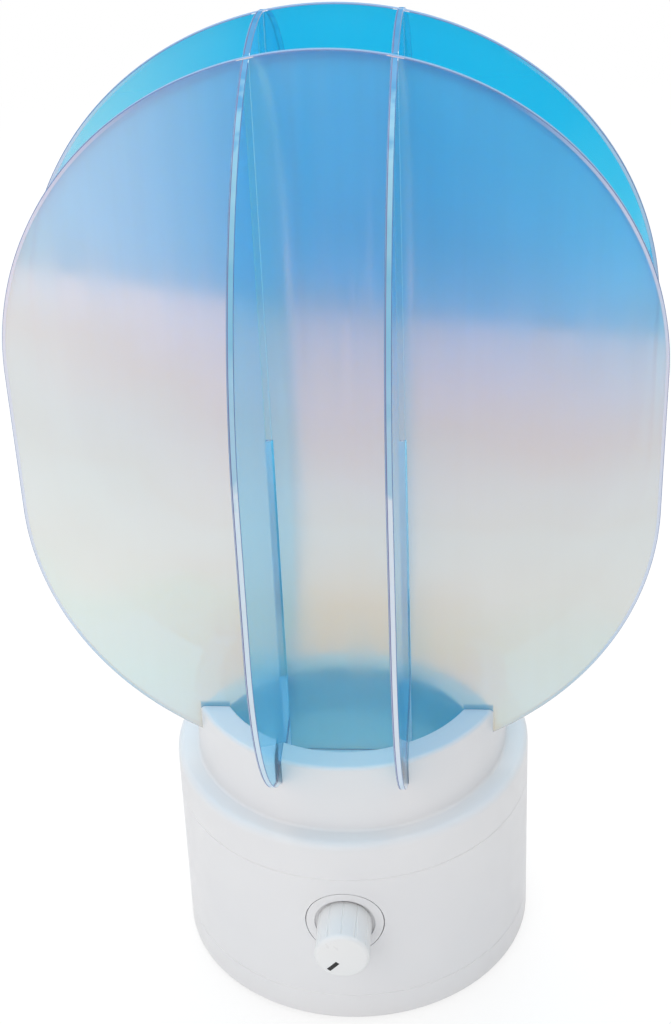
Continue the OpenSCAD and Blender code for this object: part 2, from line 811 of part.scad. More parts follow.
module pot_shaft() {
    color("silver") at_dial() difference() {
        rod(shaft_d / 2, shaft_start_d, shaft_end_d);
        translate([-shaft_d, shaft_d / 4, hub_d]) cube([2 * shaft_d, shaft_d, knob_l]);
    }
}

module pot_rotor() {
    color("black") at_dial() ring(pot_r - case_t - rotor_gap, shaft_d / 2, shaft_start_d + shaft_tail,
        wafer_d - brush_gap);
}

// Knob before its pointer is let in, with hair grooves along its side
module knob_blank() {
    r = knob_d / 2;
    flat_r = r - knob_round;
    dome_r = (pow(flat_r, 2) + pow(knob_dome, 2)) / (2 * knob_dome);
    dome_half = asin(flat_r / dome_r);
    edge_d = knob_face_d - knob_dome;
    difference() {
        rotate_extrude() polygon(concat(
            [[r - knob_wall, skirt_d], [r, skirt_d]],
            arc([flat_r, edge_d - knob_round], knob_round, 0, 90),
            arc([0, knob_face_d - dome_r], dome_r, 90 - dome_half, 90, 6),
            [[0, hub_d], [r - knob_wall, hub_d]]));
        for (k = [0:knob_grooves - 1]) rotate(90 + 360 * k / knob_grooves)
            translate([r + groove_w * 0.2, 0, 0]) rod(groove_w / 2, skirt_d - over, edge_d - knob_round);
    }
}

// Bar of the pointer, turned to the off position, from below the face to above it
module pointer_bar() {
    rotate(-rest_angle) translate([-pointer_w / 2, -pointer_r[1], knob_face_d - knob_dome - pointer_depth])
        cube([pointer_w, pointer_r[1] - pointer_r[0], pointer_depth + knob_dome + over]);
}

module knob() {
    color("white") at_dial() difference() {
        knob_blank();
        difference() {
            rod(shaft_d / 2, hub_d - over, shaft_end_d);
            translate([-shaft_d, shaft_d / 4, hub_d]) cube([2 * shaft_d, shaft_d, knob_l]);
        }
        pointer_bar();
    }
}

module knob_pointer() {
    color("black") at_dial() intersection() {
        knob_blank();
        pointer_bar();
    }
}

module power_inlet() {
    color("black") at_inlet() difference() {
        union() {
            rod(inlet_flange_d / 2, inlet_seat_d, mouth_d);
            rod(inlet_d / 2, inlet_end_d, inlet_seat_d);
        }
        rod(socket_d / 2, socket_floor_d, mouth_d + over);
    }
}

module inlet_pin() {
    color("silver") at_inlet() rod(pin_d / 2, socket_floor_d, mouth_d - pin_sink);
}

module inlet_nut() {
    color("silver") at_inlet() difference() {
        translate([0, 0, inlet_pad_d - inlet_nut_t])
            cylinder(d = inlet_nut_w / cos(30), h = inlet_nut_t, $fn = 6);
        rod(inlet_d / 2 + bushing_fit, inlet_pad_d - inlet_nut_t - over, inlet_pad_d + over);
    }
}

module inlet_tabs() {
    color("silver") at_inlet() for (k = [-0.5, 0.5])
        translate([k * tab_pitch - tab_size.x / 2, -tab_size.y / 2, inlet_end_d - tab_size.z]) cube(tab_size);
}

// Leads hang in a curve from where they start to the plug on the board
module led_leads() {
    top = led_board_z;
    foot = board_top_z + plug_h;
    color("firebrick") for (s = [-0.5, 0.5]) {
        from = [s * plug_pitch - led_lead_x, led_plug.y, top];
        to = [led_plug.x + s * plug_pitch, led_plug.y, foot];
        lead([from, from - [0, 0, led_lead_reach], to + [0, 0, led_lead_reach], to]);
    }
}

module dimmer_leads() {
    foot = board_top_z + plug_h;
    color("goldenrod") for (s = [-1, 0, 1]) {
        from = [terminal_pitch * s, terminal_size.y / 2 - wafer_d, knob_z - terminal_drop];
        to = [dimmer_plug.x + plug_pitch * s, dimmer_plug.y, foot];
        lead([from, from - [0, 0, dimmer_lead_reach[0]], to + [0, 0, dimmer_lead_reach[1]], to]);
    }
}

module inlet_leads() {
    foot = board_top_z + plug_h;
    color("black") for (s = [-0.5, 0.5]) {
        from = [tab_pitch * s, inlet_end_d - tab_size.z, inlet_z];
        to = [inlet_plug.x + plug_pitch * s, inlet_plug.y, foot];
        lead([from, from - [0, inlet_lead_reach[0], 0], to + [0, 0, inlet_lead_reach[1]], to]);
    }
}

bottom_cover();
rubber_feet();
bottom_screws();
ballast_plate();
base_shell();
top_cover();
cover_screws();
diffuser();
led_board();
led_chips();
led_screws();
driver_board();
driver_capacitor();
driver_inductor();
driver_chips();
board_connectors();
board_screws();
dial_bezel();
pot_washer();
pot_nut();
pot_bushing();
pot_wafer();
pot_terminals();
pot_case();
pot_switch();
pot_shaft();
pot_rotor();
knob();
knob_pointer();
front_panel();
rear_panel();
left_panel();
right_panel();
power_inlet();
inlet_pin();
inlet_nut();
inlet_tabs();
led_leads();
dimmer_leads();
inlet_leads();
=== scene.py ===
"""Bedside lamp: four interlocking film panels stand in a white drum base with a dimmer knob.

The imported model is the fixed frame. The panels and the knob's pointer are modelled afresh, every
piece gets its finish, and a pale stage with soft light stands round the lamp. Sizes are in metres.
"""

import json
import logging
import math
from dataclasses import dataclass, replace
from enum import Enum
from typing import Protocol, Sequence

import bmesh
import bpy
from mathutils import Matrix, Vector


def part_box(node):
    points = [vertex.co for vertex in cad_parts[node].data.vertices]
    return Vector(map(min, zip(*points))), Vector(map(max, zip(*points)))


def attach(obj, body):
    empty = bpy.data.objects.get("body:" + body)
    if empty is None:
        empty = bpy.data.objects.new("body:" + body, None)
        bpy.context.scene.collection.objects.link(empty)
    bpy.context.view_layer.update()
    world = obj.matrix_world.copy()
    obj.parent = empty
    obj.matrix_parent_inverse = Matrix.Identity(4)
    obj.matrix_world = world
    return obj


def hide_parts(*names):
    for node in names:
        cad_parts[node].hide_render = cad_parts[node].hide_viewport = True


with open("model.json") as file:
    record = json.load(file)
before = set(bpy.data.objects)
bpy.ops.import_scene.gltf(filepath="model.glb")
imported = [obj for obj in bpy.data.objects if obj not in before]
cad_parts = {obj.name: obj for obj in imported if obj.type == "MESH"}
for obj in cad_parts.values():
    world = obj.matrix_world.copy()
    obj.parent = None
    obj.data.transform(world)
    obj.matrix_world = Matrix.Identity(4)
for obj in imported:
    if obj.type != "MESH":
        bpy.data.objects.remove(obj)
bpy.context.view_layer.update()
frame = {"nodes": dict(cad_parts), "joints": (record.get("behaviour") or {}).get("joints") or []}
LOG = logging.getLogger("lamp")

Colour = tuple[float, float, float]
Paint = tuple[float, float, float, float]
Place = tuple[float, float, float]
Span = tuple[float, float]
Stop = tuple[float, Colour]
Socket = bpy.types.NodeSocket

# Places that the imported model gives
PANEL_LOW, PANEL_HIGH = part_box("left_panel")
PANEL_PITCH = -PANEL_LOW.x - PANEL_HIGH.x
COLLAR_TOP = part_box("top_cover")[1].z
KNOB_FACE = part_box("knob")[0].y
KNOB_TURN = frame["joints"][0]

# Heights between which the colours along the panels' edges run, painted light that changes with height
EDGE_LIGHT_SPAN: Span = (0.08, 0.331)
# Values between which nearly all of a noise lies
NOISE_SPAN: Span = (0.3, 0.7)
# Corners up to this angle are shaded smooth
SMOOTH_ANGLE = math.radians(25.0)
# A face looks along an axis where more than this share of its normal lies on it
ALONG = 0.9
# A face looks across an axis where less than this share does
ACROSS = 0.1
# A face of a lap is its side where less than this share points up or down
UPRIGHT = 0.5


class Body(Enum):
    """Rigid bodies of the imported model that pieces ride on."""

    BASE = "base"
    KNOB = "knob"


class Cut(Enum):
    """Where a panel's half laps open."""

    FOOT = "foot"
    TOP = "top"


class Skin(Enum):
    """Parts of a panel's surface, each with the number of its finish."""

    FILM = 0
    BARE = 1
    EDGE = 2
    CORNER = 3
    LAP_CORNER = 4


def opaque(colour: Colour) -> Paint:
    """Gives a colour its full alpha."""
    return (*colour, 1.0)


def even(level: float) -> Paint:
    """Gives a grey its full alpha."""
    return (level, level, level, 1.0)


class Graph:
    """Node tree of a material or of the world, laid out node by node."""

    def __init__(self, owner: bpy.types.Material | bpy.types.World) -> None:
        """Starts an empty tree.

        Args:
            owner: What the tree belongs to.
        """
        owner.use_nodes = True
        self.owner = owner
        self.tree = owner.node_tree
        self.tree.nodes.clear()

    @classmethod
    def named(cls, name: str) -> "Graph":
        """Starts a material of that name."""
        return cls(bpy.data.materials.new(name))

    def node(self, kind: str, inputs: dict | None = None, **settings: object) -> bpy.types.Node:
        """Adds a node.

        Args:
            kind: Blender's name for the node type, without its common prefix.
            inputs: Values or sockets for the inputs, by name or number.
            settings: Properties of the node.

        Returns:
            The new node.
        """
        node = self.tree.nodes.new("ShaderNode" + kind)
        for name, value in settings.items():
            setattr(node, name, value)
        for key, value in (inputs or {}).items():
            if isinstance(value, Socket):
                self.tree.links.new(value, node.inputs[key])
            else:
                node.inputs[key].default_value = value
        return node

    def place(self) -> Socket:
        """Gives the piece's own coordinates."""
        return self.node("TexCoord").outputs["Object"]

    def stretched(self, scale: Place) -> Socket:
        """Gives the piece's own coordinates, scaled along each axis."""
        return self.node("Mapping", {"Vector": self.place(), "Scale": scale}).outputs["Vector"]

    def axes(self, vector: Socket) -> bpy.types.NodeOutputs:
        """Takes a vector apart, by axis."""
        return self.node("SeparateXYZ", {0: vector}).outputs

    def measure(self, operation: str, *vectors: object) -> Socket:
        """Gives a length, a distance or a product of vectors."""
        return self.node("VectorMath", dict(enumerate(vectors)), operation=operation).outputs["Value"]

    def facing(self) -> Socket:
        """Gives 0 where the surface faces the eye, and 1 where it is seen from the side."""
        return self.node("LayerWeight", {"Blend": 0.5}).outputs["Facing"]

    def noise(self, scale: float, detail: float = 3.0, vector: Socket | None = None) -> Socket:
        """Gives cloudy noise in the piece's own coordinates.

        Args:
            scale: Features per metre.
            detail: Octaves of finer noise.
            vector: Coordinates, if not the piece's plain ones.

        Returns:
            Socket with values about 0.5.
        """
        inputs = {"Vector": vector or self.place(), "Scale": scale, "Detail": detail}
        return self.node("TexNoise", inputs).outputs["Fac"]

    def ramp(self, fac: Socket, stops: Sequence[Stop]) -> Socket:
        """Runs a value through a colour ramp.

        Args:
            fac: Value from 0 to 1.
            stops: Places and colours along the ramp.

        Returns:
            Socket with the colour.
        """
        node = self.node("ValToRGB", {"Fac": fac})
        elements = node.color_ramp.elements
        while len(elements) < len(stops):
            elements.new(1.0)
        for element, (place, colour) in zip(elements, stops):
            element.position = place
            element.color = opaque(colour)
        return node.outputs["Color"]

    def greys(self, fac: Socket, stops: Sequence[Span]) -> Socket:
        """Runs a value through a ramp of greys, each given as a place and a level."""
        return self.ramp(fac, [(place, (level, level, level)) for place, level in stops])

    def math(self, operation: str, *values: object) -> Socket:
        """Does one sum on sockets or numbers."""
        return self.node("Math", dict(enumerate(values)), operation=operation).outputs[0]

    def remap(self, value: Socket, span: Span, low: float = 0.0, high: float = 1.0) -> Socket:
        """Maps a span of values to another one, whose ends hold beyond it.

        Args:
            value: What is mapped.
            span: Values that become low and high.
            low: Result at the span's start.
            high: Result at its end.

        Returns:
            Socket with the result.
        """
        inputs = {"Value": value, "From Min": span[0], "From Max": span[1], "To Min": low, "To Max": high}
        return self.node("MapRange", inputs).outputs["Result"]

    def spread(self, value: Socket, low: float, high: float) -> Socket:
        """Maps noise from its usual span to another one."""
        return self.remap(value, NOISE_SPAN, low, high)

    def mix(self, fac: object, first: object, second: object, blend: str = "MIX") -> Socket:
        """Mixes two colours.

        Args:
            fac: Share of the second colour.
            first: First colour.
            second: Second colour.
            blend: Blender's name for the way of mixing.

        Returns:
            Socket with the colour.
        """
        # The node's sockets for colours have these numbers
        inputs = {0: fac, 6: first, 7: second}
        return self.node("Mix", inputs, data_type="RGBA", blend_type=blend).outputs[2]

    def tint(self, first: object, second: object) -> Socket:
        """Multiplies two colours."""
        return self.mix(1.0, first, second, "MULTIPLY")

    def bump(self, height: Socket, distance: float) -> Socket:
        """Turns a height from 0 to 1 into a bent normal, where distance is the real height of 1."""
        return self.node("Bump", {"Height": height, "Distance": distance}).outputs["Normal"]

    def shader(self, kind: str, inputs: dict) -> Socket:
        """Adds a shader node and gives its result."""
        return self.node(kind, inputs).outputs[0]

    def add(self, first: Socket, second: Socket) -> Socket:
        """Adds two shaders."""
        return self.shader("AddShader", {0: first, 1: second})

    def blend(self, share: Socket, first: Socket, second: Socket) -> Socket:
        """Blends two shaders by the second one's share."""
        return self.shader("MixShader", {0: share, 1: first, 2: second})

    def finish(self, shader: Socket) -> bpy.types.Material | bpy.types.World:
        """Sends the shader to the output and gives the tree's owner."""
        output = "OutputWorld" if isinstance(self.owner, bpy.types.World) else "OutputMaterial"
        self.node(output, {"Surface": shader})
        return self.owner


class Finish(Protocol):
    """Something that makes a material."""

    name: str

    def material(self) -> bpy.types.Material:
        """Makes the material."""
        ...


@dataclass(frozen=True)
class Moulding:
    """Moulded plastic or rubber with a fine grain and a slightly uneven tone.

    Grain and clouds are counted per metre, and patches of roughness per cloud.
    """

    name: str
    light: Colour
    dark: Colour
    roughness: float = 0.42
    roughness_span: float = 0.08
    grain: float = 1500.0
    grain_depth: float = 0.00001
    clouds: float = 22.0
    patches: float = 6.0
    specular: float = 0.45

    def material(self) -> bpy.types.Material:
        """Makes the material.

        Returns:
            The material.
        """
        graph = Graph.named(self.name)
        clouds = graph.noise(self.clouds, detail=4.0)
        patches = graph.noise(self.clouds * self.patches)
        low = self.roughness - self.roughness_span
        high = self.roughness + self.roughness_span
        return graph.finish(graph.shader("BsdfPrincipled", {
            "Base Color": graph.mix(graph.spread(clouds, 0.0, 1.0), opaque(self.light), opaque(self.dark)),
            "Roughness": graph.spread(patches, low, high),
            "Specular IOR Level": self.specular,
            "Normal": graph.bump(graph.noise(self.grain, detail=2.0), self.grain_depth),
        }))


@dataclass(frozen=True)
class Metal:
    """Plated or bare metal with fine drawn lines and a slightly blotched plating.

    Blotches and lines are counted per metre, the lines along each axis.
    """

    name: str
    light: Colour
    dark: Colour
    roughness: float = 0.3
    roughness_span: Span = (-0.08, 0.1)
    blotches: float = 160.0
    lines: Place = (60.0, 60.0, 1800.0)
    line_depth: float = 0.000006

    def material(self) -> bpy.types.Material:
        """Makes the material.

        Returns:
            The material.
        """
        graph = Graph.named(self.name)
        blotch = graph.spread(graph.noise(self.blotches, detail=4.0), 0.0, 1.0)
        drawn = graph.noise(1.0, vector=graph.stretched(self.lines))
        low, high = (self.roughness + change for change in self.roughness_span)
        return graph.finish(graph.shader("BsdfPrincipled", {
            "Base Color": graph.mix(blotch, opaque(self.light), opaque(self.dark)),
            "Metallic": 1.0,
            "Roughness": graph.spread(drawn, low, high),
            "Normal": graph.bump(drawn, self.line_depth),
        }))


@dataclass(frozen=True)
class Outline:
    """Round-ended outline of a panel."""

    width: float = PANEL_HIGH.y - PANEL_LOW.y
    top: float = PANEL_HIGH.z
    side: float = 0.048

    @property
    def radius(self) -> float:
        """Radius of the round ends."""
        return self.width / 2

    @property
    def upper(self) -> float:
        """Height of the upper round's centre."""
        return self.top - self.radius

    def inset(self, graph: Graph, along: str) -> Socket:
        """Gives how far a point lies inside the outline.

        Args:
            graph: Material that asks.
            along: Axis along the panel's width.

        Returns:
            Socket with the distance in metres.
        """
        place = graph.axes(graph.place())
        rise = graph.math("ABSOLUTE", graph.math("SUBTRACT", place["Z"], self.upper - self.side / 2))
        over = graph.math("MAXIMUM", graph.math("SUBTRACT", rise, self.side / 2), 0.0)
        corner = graph.node("CombineXYZ", {0: place[along], 1: over}).outputs[0]
        return graph.math("SUBTRACT", self.radius, graph.measure("LENGTH", corner))


@dataclass(frozen=True)
class ColourFilm:
    """Hazy colour-shifting film: what it mirrors and what it lets through change with the angle.

    The film is scuffed and wiped, blurs its mirrored picture near its foot and between the fins,
    shows a strip of painted edge light along its upright edges, paler towards the top, and a painted
    shadow line where it stands in the collar.
    Wipes, scuffs and waves are counted per metre, the first two along each axis.
    """

    name: str
    through: tuple[Stop, ...]
    mirrored: tuple[Stop, ...]
    glow: Colour
    # Painted edge light along the outline, its colour changing with height
    edge_light: tuple[Stop, ...]
    along: str = "X"
    drift: float = 0.01
    drift_scale: float = 14.0
    haze: float = 0.75
    grazing_haze: float = 0.1
    haze_span: Span = (0.2, 0.45)
    pale: float = 0.0
    pale_span: Span = (-0.1, -0.02)
    pale_colour: Colour = (0.55, 0.75, 0.9)
    wipes: Place = (220.0, 220.0, 7.0)
    wipe_span: Span = (0.975, 1.015)
    behind: float = 0.45
    roughness: float = 0.08
    scuffs: Place = (260.0, 260.0, 14.0)
    scuff_span: Span = (0.7, 1.4)
    foot_blur: float = 2.2
    foot_span: Span = (0.13, 0.16)
    unwiped_blur: float = 1.35
    unwiped_span: Span = (0.02, 0.021)
    waves: float = 9.0
    wave_depth: float = 0.00006
    bloom: float = 0.3
    bloom_roughness: float = 0.34
    edge_light_share: float = 0.7
    edge_light_width: float = 0.0012
    edge_light_fade: float = 0.8
    edge_light_span: Span = (0.05, 0.085)
    # Painted shadow: a dark line on the film just above the collar's top, over the rim
    seat_shadow_share: float = 0.65
    seat_shadow_colour: Colour = (0.1, 0.38, 0.58)
    seat_shadow_rise: Span = (0.0012, 0.0024)
    seat_middle: float = 0.044
    seat_half: float = 0.0049

    def material(self) -> bpy.types.Material:
        """Makes the material.

        Returns:
            The material.
        """
        graph = Graph.named(self.name)
        place = graph.axes(graph.place())
        sideways = graph.math("ABSOLUTE", place[self.along])
        drift = graph.spread(graph.noise(self.drift_scale, detail=2.0), -self.drift, self.drift)
        angle = graph.math("ADD", graph.facing(), drift)
        blur = graph.math("MAXIMUM", graph.remap(place["Z"], self.foot_span, self.foot_blur, 1.0),
                          graph.remap(sideways, self.unwiped_span, self.unwiped_blur, 1.0))
        film = graph.add(self.veil(graph, angle, place[self.along]), self.shine(graph, angle, blur))
        # Painted edge light: a strip inside the outline, paler towards the top
        colour = graph.ramp(graph.remap(place["Z"], EDGE_LIGHT_SPAN), self.edge_light)
        edge_light = graph.shader("BsdfDiffuse", {"Color": colour})
        film = graph.blend(self.edge_light_mask(graph, sideways), film, edge_light)
        # Painted shadow line where the panel stands in the collar
        seat_shadow = graph.shader("BsdfDiffuse", {"Color": opaque(self.seat_shadow_colour)})
        return graph.finish(graph.blend(self.seat_shadow_line(graph, place["Z"], sideways), film, seat_shadow))

    def veil(self, graph: Graph, angle: Socket, along: Socket) -> Socket:
        """Lets light through, partly clear and partly as a haze that glows.

        Args:
            graph: The film's material.
            angle: How far the film is turned from the eye.
            along: Place along the panel's width.

        Returns:
            Socket with the shader.
        """
        start, end = self.haze_span
        haze = graph.greys(graph.facing(), ((0.0, self.haze), (start, self.haze), (end, self.grazing_haze)))
        through = graph.ramp(angle, self.through)
        if self.pale:
            paler = graph.remap(along, self.pale_span, self.pale, 0.0)
            through = graph.mix(paler, through, opaque(self.pale_colour))
        wipes = graph.noise(1.0, detail=4.0, vector=graph.stretched(self.wipes))
        wiped = graph.spread(wipes, *self.wipe_span)
        glow = graph.tint(graph.mix(haze, even(0.0), opaque(self.glow)), through)
        clear = graph.shader("BsdfTransparent", {"Color": graph.mix(haze, through, even(0.0))})
        return graph.add(clear, graph.shader("BsdfTranslucent", {"Color": graph.tint(glow, wiped)}))

    def shine(self, graph: Graph, angle: Socket, blur: Socket) -> Socket:
        """Mirrors the room, weaker from behind, with a soft bloom about it.

        Args:
            graph: The film's material.
            angle: How far the film is turned from the eye.
            blur: How many times rougher than elsewhere the film is.

        Returns:
            Socket with the shader.
        """
        mirrored = graph.ramp(angle, self.mirrored)
        backwards = graph.node("NewGeometry").outputs["Backfacing"]
        mirrored = graph.mix(backwards, mirrored, graph.tint(mirrored, even(self.behind)))
        scuffs = graph.noise(1.0, detail=6.0, vector=graph.stretched(self.scuffs))
        rough = graph.spread(scuffs, *(self.roughness * times for times in self.scuff_span))
        mirror = graph.shader("BsdfGlossy", {
            "Color": graph.tint(mirrored, even(1.0 - self.bloom)),
            "Roughness": graph.math("MULTIPLY", rough, blur),
            "Normal": graph.bump(graph.noise(self.waves, detail=1.0), self.wave_depth),
        })
        return graph.add(mirror, graph.shader("BsdfGlossy", {
            "Color": graph.tint(mirrored, even(self.bloom)),
            "Roughness": self.bloom_roughness,
        }))

    def edge_light_mask(self, graph: Graph, sideways: Socket) -> Socket:
        """Gives the share of the painted edge light inside the upright edges.

        Args:
            graph: The film's material.
            sideways: Distance from the panel's middle.

        Returns:
            Socket with the share.
        """
        fade = (self.edge_light_width * self.edge_light_fade, self.edge_light_width)
        edge = graph.remap(Outline().inset(graph, self.along), fade, self.edge_light_share, 0.0)
        return graph.math("MULTIPLY", edge, graph.remap(sideways, self.edge_light_span))

    def seat_shadow_line(self, graph: Graph, height: Socket, sideways: Socket) -> Socket:
        """Gives the share of the painted shadow line just above the collar's top.

        Args:
            graph: The film's material.
            height: Height above the table.
            sideways: Distance from the panel's middle.

        Returns:
            Socket with the share.
        """
        low, high = (COLLAR_TOP + rise for rise in self.seat_shadow_rise)
        level = graph.remap(height, (low, high), self.seat_shadow_share, 0.0)
        seat = graph.math("COMPARE", sideways, self.seat_middle, self.seat_half)
        return graph.math("MULTIPLY", level, seat)


@dataclass(frozen=True)
class ClearFace:
    """Bare polished face of a clear acrylic sheet."""

    name: str
    tint: Colour = (0.97, 0.985, 0.985)
    mirrored: tuple[Span, ...] = (
        (0.0, 0.03), (0.5, 0.06), (0.75, 0.12), (0.9, 0.25), (0.97, 0.5), (1.0, 0.9))
    roughness: float = 0.03
    wear: Place = (240.0, 240.0, 12.0)
    wear_span: Span = (0.6, 1.8)

    def material(self) -> bpy.types.Material:
        """Makes the material.

        Returns:
            The material.
        """
        graph = Graph.named(self.name)
        wear = graph.noise(1.0, detail=6.0, vector=graph.stretched(self.wear))
        rough = graph.spread(wear, *(self.roughness * times for times in self.wear_span))
        clear = graph.shader("BsdfTransparent", {"Color": opaque(self.tint)})
        gloss = graph.shader("BsdfGlossy", {"Color": even(1.0), "Roughness": rough})
        return graph.finish(graph.blend(graph.greys(graph.facing(), self.mirrored), clear, gloss))


@dataclass(frozen=True)
class SheetEdge:
    """Polished cut edge of the sheet, which glows in the film's colour with painted light and highlights
    that change with height, and shows the film's bond.
    """

    name: str
    body: tuple[Stop, ...]
    across: str
    drift: float = 0.03
    drift_scale: float = 90.0
    bond: float = -0.0006
    bond_half: float = 0.00013
    bond_colour: Colour = (0.24, 0.22, 0.4)
    skin_share: float = 0.5
    gloss: Colour = (0.12, 0.12, 0.13)
    roughness: float = 0.12
    saw_marks: float = 700.0
    saw_span: Span = (0.6, 1.5)

    def material(self) -> bpy.types.Material:
        """Makes the material.

        Returns:
            The material.
        """
        graph = Graph.named(self.name)
        place = graph.axes(graph.place())
        drift = graph.spread(graph.noise(self.drift_scale), -self.drift, self.drift)
        # Painted light and highlights: the edge's colour changes with height
        colour = graph.ramp(graph.math("ADD", graph.remap(place["Z"], EDGE_LIGHT_SPAN), drift), self.body)
        half = PANEL_PITCH / 2
        depth = graph.math("WRAP", graph.math("ADD", place[self.across], half), half, -half)
        line = graph.math("COMPARE", depth, self.bond, self.bond_half)
        shown = graph.mix(line, colour, opaque(self.bond_colour))
        skin = graph.shader("BsdfDiffuse", {"Color": graph.tint(shown, even(self.skin_share))})
        core = graph.shader("BsdfTranslucent", {"Color": graph.tint(shown, even(1.0 - self.skin_share))})
        saw = graph.noise(self.saw_marks, detail=2.0)
        gloss = graph.shader("BsdfGlossy", {
            "Color": opaque(self.gloss),
            "Roughness": graph.spread(saw, *(self.roughness * times for times in self.saw_span)),
        })
        return graph.finish(graph.add(graph.add(skin, core), gloss))


class EditMesh:
    """Edit mode on one object, with its faces, edges and points open to selection."""

    def __init__(self, piece: bpy.types.Object) -> None:
        """Keeps the piece to edit."""
        self.piece = piece

    def __enter__(self) -> bmesh.types.BMesh:
        """Opens edit mode with nothing selected."""
        only(self.piece)
        bpy.ops.object.mode_set(mode="EDIT")
        bpy.ops.mesh.select_all(action="DESELECT")
        mesh = bmesh.from_edit_mesh(self.piece.data)
        mesh.normal_update()
        return mesh

    def __exit__(self, *_: object) -> None:
        """Closes edit mode."""
        bpy.ops.object.mode_set(mode="OBJECT")


def only(piece: bpy.types.Object) -> None:
    """Makes a piece the one that operators act on."""
    bpy.ops.object.select_all(action="DESELECT")
    piece.select_set(True)
    bpy.context.view_layer.objects.active = piece


def settle(piece: bpy.types.Object) -> None:
    """Moves a piece's place and turn into its mesh."""
    only(piece)
    bpy.ops.object.transform_apply(location=True, rotation=True, scale=True)


def block(low: Sequence[float], high: Sequence[float]) -> bpy.types.Object:
    """Adds a box between two corners, to cut with or to be cut.

    Args:
        low: Lowest corner.
        high: Highest corner.

    Returns:
        The box.
    """
    bpy.ops.object.select_all(action="DESELECT")
    centre = [(a + b) / 2 for a, b in zip(low, high)]
    size = [b - a for a, b in zip(low, high)]
    bpy.ops.mesh.primitive_cube_add(size=1.0, location=centre, scale=size)
    piece = bpy.context.object
    settle(piece)
    return piece


def join(piece: bpy.types.Object, other: bpy.types.Object, operation: str) -> None:
    """Joins a piece with another solid and removes that solid.

    Args:
        piece: What is changed.
        other: The solid that is taken out of it or shared with it.
        operation: Name of the boolean operation.
    """
    modifier = piece.modifiers.new("join", "BOOLEAN")
    modifier.operation = operation
    modifier.solver = "EXACT"
    modifier.object = other
    only(piece)
    bpy.ops.object.modifier_apply(modifier=modifier.name)
    bpy.data.objects.remove(other)


def twin(piece: bpy.types.Object, name: str, shift: Vector) -> bpy.types.Object:
    """Copies a piece with a mesh of its own.

    Args:
        piece: What is copied.
        name: Name of the copy.
        shift: How far the copy stands from the first.

    Returns:
        The copy.
    """
    only(piece)
    bpy.ops.object.duplicate(linked=False)
    copy = bpy.context.object
    label(copy, name)
    copy.location = shift
    settle(copy)
    return copy


def drum(radius: float, depth: float, steps: int, height: float, turn: float = 0.0) -> bpy.types.Object:
    """Adds a cylinder that lies along Y, to be cut or stretched.

    Args:
        radius: Its radius.
        depth: Its length along Y.
        steps: Number of its sides.
        height: Height of its axis.
        turn: How far it is turned about its axis.

    Returns:
        The cylinder.
    """
    bpy.ops.object.select_all(action="DESELECT")
    bpy.ops.mesh.primitive_cylinder_add(
        vertices=steps, radius=radius, depth=depth, end_fill_type="NGON",
        location=(0.0, 0.0, height), rotation=(math.pi / 2, turn, 0.0))
    piece = bpy.context.object
    settle(piece)
    return piece


def label(piece: bpy.types.Object, name: str) -> None:
    """Names a piece and its mesh."""
    piece.name = name
    piece.data.name = name


def smooth(piece: bpy.types.Object) -> None:
    """Shades a piece smooth, apart from its sharp corners."""
    only(piece)
    bpy.ops.object.shade_smooth_by_angle(angle=SMOOTH_ANGLE)


def dress(node: str, material: bpy.types.Material) -> None:
    """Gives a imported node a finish.

    Args:
        node: Name of the node.
        material: Its finish.
    """
    for slot in frame["nodes"][node].material_slots:
        slot.material = material
    LOG.info("dressed %s in %s", node, material.name)


